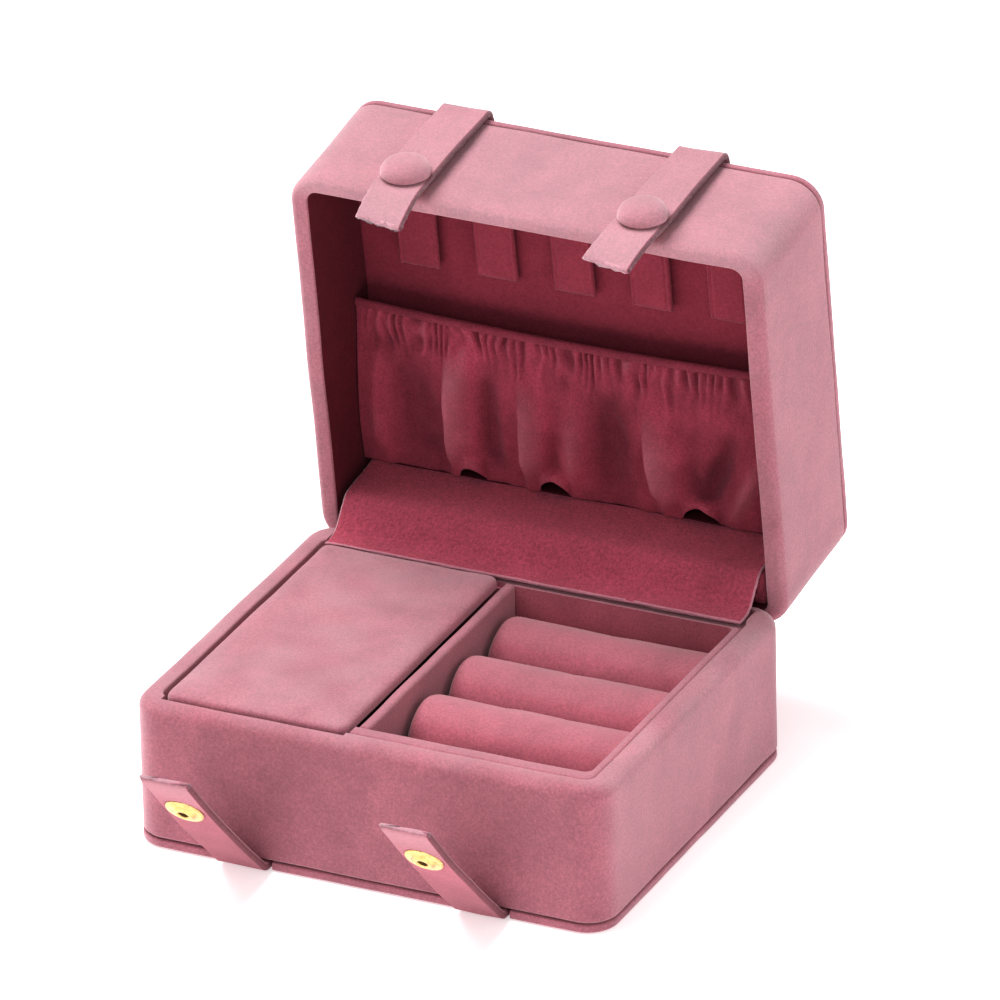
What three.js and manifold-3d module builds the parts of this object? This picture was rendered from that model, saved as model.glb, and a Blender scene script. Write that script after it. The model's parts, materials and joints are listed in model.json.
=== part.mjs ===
// Travel jewelry box: fabric-covered board shell, inner tray with a lidded compartment and ring
// rolls, hinged lid with a gathered pocket and necklace tabs, and two snap straps.
// Millimetres, +Z up, front of the box at -Y. The lid is drawn closed and then swung open.
import * as THREE from 'three';
import Module from 'manifold-3d';

const wasm = await Module();
wasm.setup();

// ---- driving dimensions ----
const W = 105; // outside width
const D = 89.2; // outside depth
const HB = 32.2; // base height
const HL = 32.5; // lid height
const GAP = 0.3; // air between neighbouring pieces
const RC = 6.6; // vertical corner radius
const R_TOP = 2.6; // soft outer edge of the base rim
const R_LID = 1.7; // soft outer edge of the lid rim
const PANEL = 1.9; // bottom and top board thickness

const BASE_SIDE = 4.5; // base wall, sides
const BASE_FRONT = 4.7; // base wall, front
const BASE_BACK = 7.1; // base wall, back
const CAVITY_R = 2.5; // corner radius of the hole for the tray

const TRAY_SIDE = 2.0; // tray wall, sides
const TRAY_FRONT = 3.6; // tray wall, front
const TRAY_BACK = 3.0; // tray wall, back
const TRAY_TOP = 32.0; // top of the tray walls
const LEDGE = 29.9; // lowered walls under the compartment cover
const BACK_RIM = 31.1; // lowered back walls under the back lining
const FLOOR_TOP = 4.0; // top of the tray floor board
const FLOOR_PAD = 1.6; // pad on the floor of the compartment
const DIV_X = -4.4; // divider centre
const DIV_T = 2.4; // divider thickness
const DIV_TOP = 31.6;

const ROLL_R = 9.2; // ring roll radius
const ROLL_Z = 19.3; // ring roll axis height
const ROLL_Y = [24.8, 5.9, -12.9]; // ring roll axes, back to front
const ROLL_FRONT_R = 6.4; // narrower roll against the front wall
const ROLL_FRONT_Y = -29.2;
const ROLL_FOOT = 0.8; // small chamfer where a roll meets the floor

const COVER = { x0: -46.3, x1: -6.3, y0: -41.05, y1: 33.4, r: 2.2 };
const COVER_LINING_Z = [30.2, 30.65];
const COVER_BOARD_Z = [30.75, 31.75];
const COVER_PAD_Z = [31.85, 33.5];

const OPEN_DEG = 82.2; // how far the lid stands open
const HINGE_Y = 41.7; // lid hinge axis
const HINGE_Z = 29.35;
const CLOTH_P = [40.0, 32.75]; // where the hinge cloth leaves the base
const CLOTH_L = 6.35; // hinge cloth length
const CLOTH_T = 0.8;
const CLOTH_W = 93.2;
const CLOTH_DEG = 60.3; // hinge cloth angle from +Y at rest
const BACK_LINING_Z = [31.4, 32.2];
const SPINE_W = 88; // outside hinge tape
const SPINE_T = 0.6;
const SPINE_BASE_Z = [13, 26.2];
const SPINE_LID_Z = [33.4, 46];

const LID_SIDE = 2.9; // lid wall, sides
const LID_END = 2.1; // lid wall, front and back
const LINING = 0.9; // lid lining thickness
const LID_PANEL_T = 1.8; // inner panel thickness
const PANEL_Z = 55.2; // face of the lid's inner panel
const PAD_Y = 33.0; // face of the padded block along the lid's back wall
const PAD_Z = 33.7; // its lower edge

const POCKET_Y0 = -5.6; // top edge of the gathered pocket
const POCKET_Y1 = 31.6; // bottom edge of the pocket
const POCKET_T = 0.9;
const POCKET_Z = 49.1; // pocket cloth at the elastic
const POCKET_DROP = 3.4; // how much fuller the cloth is at its bottom edge
const POCKET_BELLY = 1.6;
const GATHER_PITCH = 5.2; // fine gathers just below the elastic
const GATHER_DEPTH = 0.55;
const FOLD_DEPTH = 0.75; // wide folds lower down
const ELASTIC = { height: 1.5, z: [48.4, 49.7] };
const POCKET_BASE = { y: [31.9, 32.7], z: 46.6 };

const TAB_N = 5;
const TAB_PITCH = 17.4;
const TAB_W = 9.3;
const TAB_T = 1.2;
const TAB_Y0 = -38.6; // necklace tab root
const TAB_Y1 = -13.6; // necklace tab end
const TAB_Z = 53.7; // necklace tab mid-plane
const HEADER_Z = 53.0; // face of the strip that the tabs hang from
const HEADER_GAP = 0.75; // room for a tab's end as it swings
const TAB_SNAP = { r: 2.4, t: 0.4, fromEnd: 4.2, z: PANEL_Z - 0.35 };

const STRAP_X = { left: -27.0, right: 25.7 };
const STRAP_W = 11.2;
const STRAP_T = 1.3;
const STRAP_P = [-45.65, 63.7]; // lid strap bend
const STRAP_LEAN = 2.5; // lid strap stands off the wall, degrees
const STRAP_END = 20.2; // lid strap end
const BUTTON_Z = 35.8; // snap height when closed
const BUTTON_R = 5.7;

const FLAP_P = [-45.75, 1.2]; // base flap bend
const FLAP_L = 48.6; // base flap length above the bend
const FLAP_T = 1.5;
const FLAP_DEG = 44; // base flap leans out from upright
const FLAP_ROOT = 0.9; // bare stretch next to the bend
const ANCHOR = { y: [-44.55, -30], z: [0.2, 1.8] }; // flap end glued in a notch of the bottom board
const SOCKET_R = 4.1;

const DEG = Math.PI / 180;

// ---- materials ----
const MATS = {
  suede: new THREE.MeshStandardMaterial({ color: 0xb8666f, roughness: 0.95 }),
  lining: new THREE.MeshStandardMaterial({ color: 0xa04a58, roughness: 1.0 }),
  plush: new THREE.MeshStandardMaterial({ color: 0xab5362, roughness: 1.0 }),
  board: new THREE.MeshStandardMaterial({ color: 0x8f7a64, roughness: 0.9 }),
  foam: new THREE.MeshStandardMaterial({ color: 0xd9cfc4, roughness: 0.9 }),
  brass: new THREE.MeshStandardMaterial({ color: 0xe0b65a, roughness: 0.3, metalness: 1.0 }),
};

const root = new THREE.Group();
root.name = 'jewelry_box';
const lidTurn = new THREE.Matrix4()
  .makeTranslation(0, HINGE_Y, HINGE_Z)
  .multiply(new THREE.Matrix4().makeRotationX(-OPEN_DEG * DEG))
  .multiply(new THREE.Matrix4().makeTranslation(0, -HINGE_Y, -HINGE_Z));

function add(name, geometry, material) {
  const mesh = new THREE.Mesh(geometry, MATS[material]);
  mesh.name = name;
  root.add(mesh);
}

function addLid(name, geometry, material) {
  add(name, geometry.applyMatrix4(lidTurn), material);
}

// ---- shapes ----
// o is an outline { x0, x1, y0, y1, r } in plan, and grow moves it outwards
function outline(o, grow, z, steps = 5) {
  const r = Math.max(o.r + grow, 0.05);
  const [x0, x1, y0, y1] = [o.x0 - grow + r, o.x1 + grow - r, o.y0 - grow + r, o.y1 + grow - r];
  const ring = [];
  for (const [cx, cy, start] of [[x1, y1, 0], [x0, y1, 90], [x0, y0, 180], [x1, y0, 270]]) {
    for (let k = 0; k <= steps; k += 1) {
      const a = (start + (90 * k) / steps) * DEG;
      ring.push([cx + r * Math.cos(a), cy + r * Math.sin(a), z]);
    }
  }
  return ring;
}

// rings up the outside of a body whose lower and upper edges are rounded by rb and rt
function outside(o, z0, z1, rb, rt, steps) {
  const EDGE_STEPS = 3;
  const rings = [];
  for (let i = 0; i <= EDGE_STEPS; i += 1) {
    const a = ((90 * i) / EDGE_STEPS) * DEG;
    rings.push(outline(o, -rb * (1 - Math.sin(a)), z0 + rb * (1 - Math.cos(a)), steps));
  }
  for (let i = EDGE_STEPS; i >= 0; i -= 1) {
    const a = ((90 * i) / EDGE_STEPS) * DEG;
    rings.push(outline(o, -rt * (1 - Math.sin(a)), z1 - rt * (1 - Math.cos(a)), steps));
  }
  return rings;
}

function meshFrom(points, faces) {
  const g = new THREE.BufferGeometry();
  g.setAttribute('position', new THREE.Float32BufferAttribute(points.flat(), 3));
  g.setIndex(faces.flat());
  g.computeVertexNormals();
  return g;
}

// skin over a stack of convex rings; a closed stack joins its last ring to its first
function loft(rings, closed) {
  const n = rings[0].length;
  const m = rings.length;
  const points = rings.flat();
  const faces = [];
  for (let i = 0; i < (closed ? m : m - 1); i += 1) {
    const a = i * n;
    const b = ((i + 1) % m) * n;
    for (let k = 0; k < n; k += 1) {
      const k1 = (k + 1) % n;
      faces.push([a + k, a + k1, b + k1], [a + k, b + k1, b + k]);
    }
  }
  for (const [ring, lower] of closed ? [] : [[0, true], [m - 1, false]]) {
    const centre = points.length;
    points.push([0, 1, 2].map((j) => rings[ring].reduce((sum, p) => sum + p[j] / n, 0)));
    for (let k = 0; k < n; k += 1) {
      const p = ring * n + k;
      const q = ring * n + ((k + 1) % n);
      faces.push(lower ? [centre, q, p] : [centre, p, q]);
    }
  }
  return meshFrom(points, faces);
}

// rounded slab; rb and rt round its lower and upper edges
function slab(o, z0, z1, rb, rt, steps = 5) {
  return loft(outside(o, z0, z1, rb, rt, steps), false);
}

function rect(x0, x1, y0, y1, r) {
  return { x0, x1, y0, y1, r };
}

// open frame with rounded outside edges and straight inner walls, chamfered at both ends
function frame(o, z0, z1, rb, rt, inner, chamfer) {
  return loft([
    ...outside(o, z0, z1, rb, rt),
    outline(inner, chamfer, z1),
    outline(inner, 0, z1 - chamfer),
    outline(inner, 0, z0 + chamfer),
    outline(inner, chamfer, z0),
  ], true);
}

function box(x0, x1, y0, y1, z0, z1) {
  const g = new THREE.BoxGeometry(x1 - x0, y1 - y0, z1 - z0);
  return g.translate((x0 + x1) / 2, (y0 + y1) / 2, (z0 + z1) / 2);
}

// profile of [y, z] points, drawn out along X from x0 to x1
function prism(profile, x0, x1) {
  const shape = new THREE.Shape(profile.map(([y, z]) => new THREE.Vector2(y, z)));
  const g = new THREE.ExtrudeGeometry(shape, { depth: x1 - x0, bevelEnabled: false });
  const turn = new THREE.Matrix4().makeBasis(
    new THREE.Vector3(0, 1, 0), new THREE.Vector3(0, 0, 1), new THREE.Vector3(1, 0, 0),
  );
  return g.applyMatrix4(turn).translate(x0, 0, 0);
}

// turned part about Z from a profile of [radius, height]
function turned(profile, segments) {
  const points = profile.map(([r, h]) => new THREE.Vector2(r, h));
  return new THREE.LatheGeometry(points, segments).rotateX(Math.PI / 2);
}

// closed sheet over a grid: at(u, v) gives [front point, back point]
function sheet(at, nu, nv) {
  const points = [];
  const id = (i, j, side) => (i * (nv + 1) + j) * 2 + side;
  for (let i = 0; i <= nu; i += 1) {
    for (let j = 0; j <= nv; j += 1) points.push(...at(i / nu, j / nv));
  }
  const faces = [];
  const quad = (a, b, c, d) => faces.push([a, b, c], [a, c, d]);
  for (let i = 0; i < nu; i += 1) {
    for (let j = 0; j < nv; j += 1) {
      quad(id(i, j, 0), id(i, j + 1, 0), id(i + 1, j + 1, 0), id(i + 1, j, 0));
      quad(id(i, j, 1), id(i + 1, j, 1), id(i + 1, j + 1, 1), id(i, j + 1, 1));
    }
  }
  for (let i = 0; i < nu; i += 1) {
    quad(id(i, 0, 0), id(i + 1, 0, 0), id(i + 1, 0, 1), id(i, 0, 1));
    quad(id(i, nv, 0), id(i, nv, 1), id(i + 1, nv, 1), id(i + 1, nv, 0));
  }
  for (let j = 0; j < nv; j += 1) {
    quad(id(0, j, 0), id(0, j, 1), id(0, j + 1, 1), id(0, j + 1, 0));
    quad(id(nu, j, 0), id(nu, j + 1, 0), id(nu, j + 1, 1), id(nu, j, 1));
  }
  return meshFrom(points, faces);
}

// ---- cutting ----
function toManifold(geometry) {
  const position = geometry.attributes.position;
  const index = geometry.index ? Array.from(geometry.index.array) : [...Array(position.count).keys()];
  const seen = new Map();
  const points = [];
  const merged = index.map((i) => {
    const p = [position.getX(i), position.getY(i), position.getZ(i)];
    const key = p.map((v) => v.toFixed(4)).join();
    if (!seen.has(key)) {
      seen.set(key, points.length);
      points.push(p);
    }
    return seen.get(key);
  });
  const faces = [];
  for (let i = 0; i < merged.length; i += 3) {
    const [a, b, c] = merged.slice(i, i + 3);
    if (a !== b && b !== c && a !== c) faces.push([a, b, c]);
  }
  const mesh = new wasm.Mesh({
    numProp: 3,
    vertProperties: new Float32Array(points.flat()),
    triVerts: new Uint32Array(faces.flat()),
  });
  return new wasm.Manifold(mesh);
}

function cut(geometry, ...tools) {
  const solid = tools.reduce((left, tool) => left.subtract(toManifold(tool)), toManifold(geometry));
  const { vertProperties, triVerts } = solid.getMesh();
  const g = new THREE.BufferGeometry();
  g.setAttribute('position', new THREE.BufferAttribute(vertProperties, 3));
  g.setIndex(new THREE.BufferAttribute(triVerts, 1));
  return g;
}

// ---- base ----
const ABOVE = 40; // a cut reaches up past every rim
const OUT = rect(-W / 2, W / 2, -D / 2, D / 2, RC);
const CAVITY = rect(-W / 2 + BASE_SIDE, W / 2 - BASE_SIDE, -D / 2 + BASE_FRONT, D / 2 - BASE_BACK, CAVITY_R);
const TRAY = rect(CAVITY.x0 + GAP, CAVITY.x1 - GAP, CAVITY.y0 + GAP, CAVITY.y1 - GAP, CAVITY_R - GAP);
const INNER = rect(
  TRAY.x0 + TRAY_SIDE, TRAY.x1 - TRAY_SIDE, TRAY.y0 + TRAY_FRONT, TRAY.y1 - TRAY_BACK, 1.6,
);

function buildBaseShell() {
  const shell = frame(OUT, PANEL + GAP, HB, 0.5, R_TOP, CAVITY, 0.5);
  // rebate that lets the compartment cover reach over the front wall
  const front = box(COVER.x0 - GAP, COVER.x1 + GAP, COVER.y0 - GAP, CAVITY.y0 + 1, LEDGE, ABOVE);
  const back = box(CAVITY.x0 + 0.8, CAVITY.x1 - 0.8, CAVITY.y1 - 2, 41.4, BACK_RIM, ABOVE);
  add('base_shell', cut(shell, front, back), 'suede');
}

function buildBasePanel() {
  const notches = Object.values(STRAP_X).map((x) => (
    box(x - STRAP_W / 2 - GAP, x + STRAP_W / 2 + GAP, OUT.y0 - 2, ANCHOR.y[1] + GAP, -1, PANEL + 1)
  ));
  add('base_panel', cut(slab(OUT, 0, PANEL, 0.6, 0.3), ...notches), 'suede');
  for (const [side, x] of Object.entries(STRAP_X)) {
    const half = STRAP_W / 2;
    add(`flap_anchor_${side}`, box(x - half, x + half, ...ANCHOR.y, ...ANCHOR.z), 'suede');
  }
}

function buildTray() {
  const walls = frame(TRAY, FLOOR_TOP + GAP, TRAY_TOP, 0.2, 0.6, INNER, 0.4);
  const left = DIV_X - DIV_T / 2;
  const low = box(TRAY.x0 - 1, left, TRAY.y0 - 1, INNER.y1 + 0.5, LEDGE, ABOVE);
  const back = box(TRAY.x0 - 1, TRAY.x1 + 1, INNER.y1 - 1, TRAY.y1 + 1, BACK_RIM, ABOVE);
  add('tray_walls', cut(walls, low, back), 'suede');
  add('tray_floor', slab(TRAY, PANEL + GAP + 0.1, FLOOR_TOP, 0.1, 0.1), 'board');
  const bottom = FLOOR_TOP + GAP;
  const divider = rect(left, left + DIV_T, INNER.y0 + GAP, INNER.y1 - GAP, 0.4);
  add('divider', slab(divider, bottom, DIV_TOP, 0.1, 0.9, 2), 'suede');
  const pad = rect(INNER.x0 + GAP, left - GAP, INNER.y0 + GAP, INNER.y1 - GAP, 1.4);
  add('compartment_pad', slab(pad, bottom, bottom + FLOOR_PAD, 0.1, 0.6), 'lining');
}

// one ring roll: upright sides and a half-round top, with soft ends
function roll(y, r, x0, x1) {
  const ARC_STEPS = 14;
  const bottom = FLOOR_TOP + GAP;
  const softEnd = [[0, 1.6], [0.5, 0.7], [1.6, 0]]; // [distance from the end, inset]
  const stations = [
    ...softEnd.map(([along, inset]) => [x0 + along, inset]),
    ...softEnd.toReversed().map(([along, inset]) => [x1 - along, inset]),
  ];
  const section = (x, rr) => {
    const arc = [...Array(ARC_STEPS + 1).keys()].map((k) => {
      const a = (180 * k * DEG) / ARC_STEPS;
      return [x, y + rr * Math.cos(a), ROLL_Z + rr * Math.sin(a)];
    });
    const side = rr - ROLL_FOOT;
    return [
      [x, y - side, bottom], [x, y + side, bottom], [x, y + rr, bottom + ROLL_FOOT],
      ...arc, [x, y - rr, bottom + ROLL_FOOT],
    ];
  };
  return loft(stations.map(([x, inset]) => section(x, r - inset)), false);
}

function buildRolls() {
  const x0 = DIV_X + DIV_T / 2 + 2 * GAP;
  const x1 = INNER.x1 - GAP;
  const rolls = [...ROLL_Y.map((y) => [y, ROLL_R]), [ROLL_FRONT_Y, ROLL_FRONT_R]];
  rolls.forEach(([y, r], i) => add(`ring_roll_${i + 1}`, roll(y, r, x0, x1), 'plush'));
}

// lining over the back rim, and the outside hinge tape in two halves either side of the seam
function buildSpine() {
  const lining = rect(-CLOTH_W / 2 - 0.2, CLOTH_W / 2 + 0.2, INNER.y1 + 0.1, CLOTH_P[0] + 0.6, 0.6);
  add('back_lining', slab(lining, ...BACK_LINING_Z, 0.1, 0.35, 2), 'plush');
  const tape = rect(-SPINE_W / 2, SPINE_W / 2, OUT.y1 + 0.1, OUT.y1 + 0.1 + SPINE_T, 0.25);
  add('spine_base', slab(tape, ...SPINE_BASE_Z, 0.15, 0.15, 2), 'suede');
  addLid('spine_lid', slab(tape, ...SPINE_LID_Z, 0.15, 0.15, 2), 'suede');
}

// ---- compartment cover ----
function buildCover() {
  const board = rect(COVER.x0 + 0.5, COVER.x1 - 0.5, COVER.y0 + 0.5, COVER.y1 - 0.3, 1.6);
  const lining = rect(COVER.x0 + 0.7, COVER.x1 - 0.7, COVER.y0 + 0.7, COVER.y1 - 0.5, 1.4);
  add('cover_board', slab(board, ...COVER_BOARD_Z, 0.1, 0.1), 'board');
  add('cover_pad', slab(COVER, ...COVER_PAD_Z, 0.25, 1.3), 'suede');
  add('cover_lining', slab(lining, ...COVER_LINING_Z, 0.1, 0.1), 'lining');
}

// ---- hinge cloth between base and lid ----
function buildHingeCloth() {
  const plan = rect(-CLOTH_W / 2, CLOTH_W / 2, -CLOTH_T / 2, CLOTH_T / 2, 0.38);
  const strip = slab(plan, -0.2, CLOTH_L, 0.15, 0.15, 3);
  strip.rotateX((CLOTH_DEG - 90) * DEG).translate(0, ...CLOTH_P);
  add('hinge_cloth', strip, 'plush');
}

// ---- lid, drawn closed ----
const LID_Z0 = HB + GAP; // rim
const LID_Z1 = LID_Z0 + HL; // top
const LID_HOLE = rect(-W / 2 + LID_SIDE, W / 2 - LID_SIDE, -D / 2 + LID_END, D / 2 - LID_END, 3.6);
const LINED = rect(LID_HOLE.x0 + GAP, LID_HOLE.x1 - GAP, LID_HOLE.y0 + GAP, LID_HOLE.y1 - GAP, 3.3);
const ROOM = rect(LINED.x0 + LINING, LINED.x1 - LINING, LINED.y0 + LINING, LINED.y1 - LINING, 2.4);
const ROOM_HALF = ROOM.x1 - GAP; // half width of what stands between the linings

function buildLidShell() {
  const top = LID_Z1 - PANEL - GAP;
  addLid('lid_shell', frame(OUT, LID_Z0, top, R_LID, 0.4, LID_HOLE, 0.6), 'suede');
  addLid('lid_top', slab(OUT, LID_Z1 - PANEL, LID_Z1, 0.3, 0.9), 'suede');
  addLid('lid_lining', frame(LINED, LID_Z0 + 0.5, PANEL_Z - GAP, 0.3, 0.2, ROOM, 0.3), 'lining');
  addLid('lid_panel', slab(LINED, PANEL_Z, PANEL_Z + LID_PANEL_T, 0.2, 0.2), 'lining');
  addLid('lid_filler', slab(LINED, PANEL_Z + LID_PANEL_T + GAP, top, 0.2, 0.2), 'foam');
  const pad = rect(-ROOM_HALF, ROOM_HALF, PAD_Y, ROOM.y1 - GAP, 2.4);
  addLid('lid_back_pad', slab(pad, PAD_Z, PANEL_Z - GAP, 1.0, 0.3, 3), 'plush');
}

// height of the pocket cloth's mid-plane: flat at the elastic, gathered below it, full at the bottom
function pocketHeight(x, v) {
  const side = (x / (ROOM_HALF - 1)) ** 2;
  const reach = Math.exp(-v * 3.2) * Math.min(1, v * 12);
  const gathers = GATHER_DEPTH * Math.cos((x * 2 * Math.PI) / GATHER_PITCH) * reach;
  const wave = Math.cos((x + 6) * 0.27) + 0.5 * Math.cos(x * 0.46 + 1.3);
  const folds = FOLD_DEPTH * wave * Math.sin(Math.PI * Math.min(1, v * 1.08));
  const belly = POCKET_BELLY * Math.sin(Math.PI * v) * (1 - side);
  return POCKET_Z - POCKET_DROP * v - belly - (gathers + folds) * (1 - side ** 3);
}

function buildPocket() {
  const y0 = POCKET_Y0 + ELASTIC.height + 0.2;
  const at = (u, v) => {
    const x = ROOM_HALF * (2 * u - 1);
    const y = y0 + (POCKET_Y1 - y0) * v;
    const z = pocketHeight(x, v);
    return [[x, y, z - POCKET_T / 2], [x, y, z + POCKET_T / 2]];
  };
  addLid('pocket_front', sheet(at, 96, 12), 'lining');
  const elastic = rect(-ROOM_HALF, ROOM_HALF, POCKET_Y0, POCKET_Y0 + ELASTIC.height, 0.5);
  addLid('pocket_elastic', slab(elastic, ...ELASTIC.z, 0.4, 0.4, 2), 'lining');
  const base = rect(-ROOM_HALF, ROOM_HALF, ...POCKET_BASE.y, 0.35);
  addLid('pocket_base', slab(base, POCKET_BASE.z, PANEL_Z - GAP, 0.2, 0.2, 2), 'lining');
}

function buildTabs() {
  const middle = (TAB_N - 1) / 2;
  const half = middle * TAB_PITCH + TAB_W / 2 + 1.5;
  const header = rect(-half, half, ROOM.y0 + GAP, TAB_Y0 - HEADER_GAP, 0.5);
  addLid('tab_header', slab(header, HEADER_Z, PANEL_Z - 0.2, 0.3, 0.2, 2), 'lining');
  for (let i = 0; i < TAB_N; i += 1) {
    const x = (i - middle) * TAB_PITCH;
    const plan = rect(x - TAB_W / 2, x + TAB_W / 2, TAB_Y0, TAB_Y1, 0.8);
    const tab = slab(plan, TAB_Z - TAB_T / 2, TAB_Z + TAB_T / 2, 0.4, 0.3, 3);
    addLid(`necklace_tab_${i + 1}`, tab, 'lining');
    const snap = new THREE.CylinderGeometry(TAB_SNAP.r - 0.2, TAB_SNAP.r, TAB_SNAP.t, 20);
    snap.rotateX(Math.PI / 2).translate(x, TAB_Y1 - TAB_SNAP.fromEnd, TAB_SNAP.z);
    addLid(`tab_snap_${i + 1}`, snap, 'brass');
  }
}

// ---- lid straps, each with its anchor over the lid's front edge ----
function buildLidStraps() {
  const [bendY, bendZ] = STRAP_P;
  const lean = STRAP_LEAN * DEG;
  const front = OUT.y0 - 0.4; // inner side of the anchor's hook
  const over = LID_Z1 + 0.2;
  const t = STRAP_T - 0.1;
  const hook = [
    [-22, over], [-22, over + t], [front + 0.1, over + t], [front - 0.9, over + t - 0.3],
    [front - t - 0.1, over + 0.2], [front - t - 0.1, bendZ + 0.65],
    [front, bendZ + 0.65], [front + 0.05, over - 0.1], [front + 0.4, over],
  ];
  const length = (bendZ - STRAP_END) / Math.cos(lean);
  const down = -(bendZ - BUTTON_Z) / Math.cos(lean);
  const dome = [
    [0, 0], [4.6, 0], [5.4, 0.4], [BUTTON_R, 1.2], [5.5, 2.1], [4.7, 2.9], [3.2, 3.5], [1.5, 3.75], [0, 3.8],
  ];
  const post = [[0, 0], [3.4, 0], [3.4, 0.3], [1.7, 0.45], [1.9, 0.8], [1.5, 1.1], [0, 1.15]];
  for (const [side, x] of Object.entries(STRAP_X)) {
    const place = (g) => g.rotateX(-lean).translate(x, bendY, bendZ);
    addLid(`strap_mount_${side}`, prism(hook, x - STRAP_W / 2, x + STRAP_W / 2), 'suede');
    const plan = rect(-STRAP_W / 2, STRAP_W / 2, -STRAP_T / 2, STRAP_T / 2, 0.45);
    addLid(`lid_strap_${side}`, place(slab(plan, -length, -0.15, 0.3, 0.2, 2)), 'suede');
    const button = turned(dome, 32).rotateX(Math.PI / 2).translate(0, -STRAP_T / 2 - 0.1, down);
    addLid(`snap_button_${side}`, place(button), 'suede');
    const stud = turned(post, 24).rotateX(-Math.PI / 2).translate(0, STRAP_T / 2 + 0.08, down);
    addLid(`snap_stud_${side}`, place(stud), 'brass');
  }
}

// ---- base flaps, drawn upright and then leaned out ----
function buildFlaps() {
  const up = BUTTON_Z - FLAP_P[1];
  const ring = [
    [0, 0], [SOCKET_R - 0.3, 0], [SOCKET_R, 0.3], [SOCKET_R - 0.2, 0.8], [3.3, 1.05], [2.5, 1.35],
    [1.8, 1.35], [1.5, 1.0], [1.5, 0.35], [0, 0.35],
  ];
  const cap = [[0, 0], [3.6, 0], [3.6, 0.25], [2.6, 0.5], [0, 0.6]];
  for (const [side, x] of Object.entries(STRAP_X)) {
    const place = (g) => g.rotateX(FLAP_DEG * DEG).translate(x, ...FLAP_P);
    const plan = rect(-STRAP_W / 2, STRAP_W / 2, -FLAP_T / 2, FLAP_T / 2, 0.5);
    add(`base_flap_${side}`, place(slab(plan, FLAP_ROOT, FLAP_L, 0.3, 0.4, 2)), 'suede');
    const socket = turned(ring, 32).rotateX(Math.PI / 2).translate(0, -FLAP_T / 2 - 0.08, up);
    add(`snap_socket_${side}`, place(socket), 'brass');
    const rivet = turned(cap, 24).rotateX(-Math.PI / 2).translate(0, FLAP_T / 2 + 0.05, up);
    add(`snap_rivet_${side}`, place(rivet), 'brass');
  }
}

buildBaseShell();
buildBasePanel();
buildTray();
buildRolls();
buildSpine();
buildCover();
buildHingeCloth();
buildLidShell();
buildPocket();
buildTabs();
buildLidStraps();
buildFlaps();

export default root;
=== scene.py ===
import json
import math

import bmesh
import bpy
import numpy as np
from mathutils import Matrix, Vector, noise


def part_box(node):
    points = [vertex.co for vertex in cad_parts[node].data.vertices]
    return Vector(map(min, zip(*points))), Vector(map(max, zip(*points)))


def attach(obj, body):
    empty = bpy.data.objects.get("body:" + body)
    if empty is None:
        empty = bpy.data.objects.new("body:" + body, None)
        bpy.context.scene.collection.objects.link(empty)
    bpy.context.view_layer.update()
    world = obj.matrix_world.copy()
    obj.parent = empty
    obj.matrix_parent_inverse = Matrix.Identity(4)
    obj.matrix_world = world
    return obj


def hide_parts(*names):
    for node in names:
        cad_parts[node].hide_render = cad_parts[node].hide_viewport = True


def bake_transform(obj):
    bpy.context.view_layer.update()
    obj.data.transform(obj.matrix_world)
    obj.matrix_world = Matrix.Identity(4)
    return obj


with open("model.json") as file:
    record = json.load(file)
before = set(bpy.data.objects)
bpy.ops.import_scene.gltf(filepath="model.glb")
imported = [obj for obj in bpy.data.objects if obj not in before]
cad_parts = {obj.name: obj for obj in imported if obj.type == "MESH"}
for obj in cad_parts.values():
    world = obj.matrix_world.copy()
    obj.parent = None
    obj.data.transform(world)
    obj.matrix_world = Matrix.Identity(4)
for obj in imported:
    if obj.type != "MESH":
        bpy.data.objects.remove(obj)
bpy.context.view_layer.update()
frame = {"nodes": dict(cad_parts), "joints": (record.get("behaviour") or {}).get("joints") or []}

MM = 0.001
STEP = 1.6 * MM  # mesh spacing on broad surfaces
CREASE = 0.04 * MM  # where two wrapped pieces meet
GAP = 0.3 * MM  # room round a lining or a cushion
SHARP = math.radians(35)  # a cut edge steeper than this isn't shaded smooth

# ---- camera, in metres and degrees ----
CAM_TARGET = Vector((0.0, 0.02079, 0.05750))
CAM_DISTANCE = 2.87709
CAM_AZIMUTH = 25.591
CAM_ELEVATION = 26.370
CAM_ROLL = -1.153
CAM_LENS = 511.92

# ---- the lid's motion, from the frame ----
LID_JOINT = next(j for j in frame["joints"] if j["name"] == "lid_hinge")
HINGE = Vector(LID_JOINT["pos_m"])
OPEN = math.radians(LID_JOINT["range_deg"][1])
OPENED = (
    Matrix.Translation(HINGE) @ Matrix.Rotation(-OPEN, 4, "X") @ Matrix.Translation(-HINGE)
)  # closed lid to open lid
CLOSED = OPENED.inverted()


def joint(name):
    return next(j for j in frame["joints"] if j["name"] == name)


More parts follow.
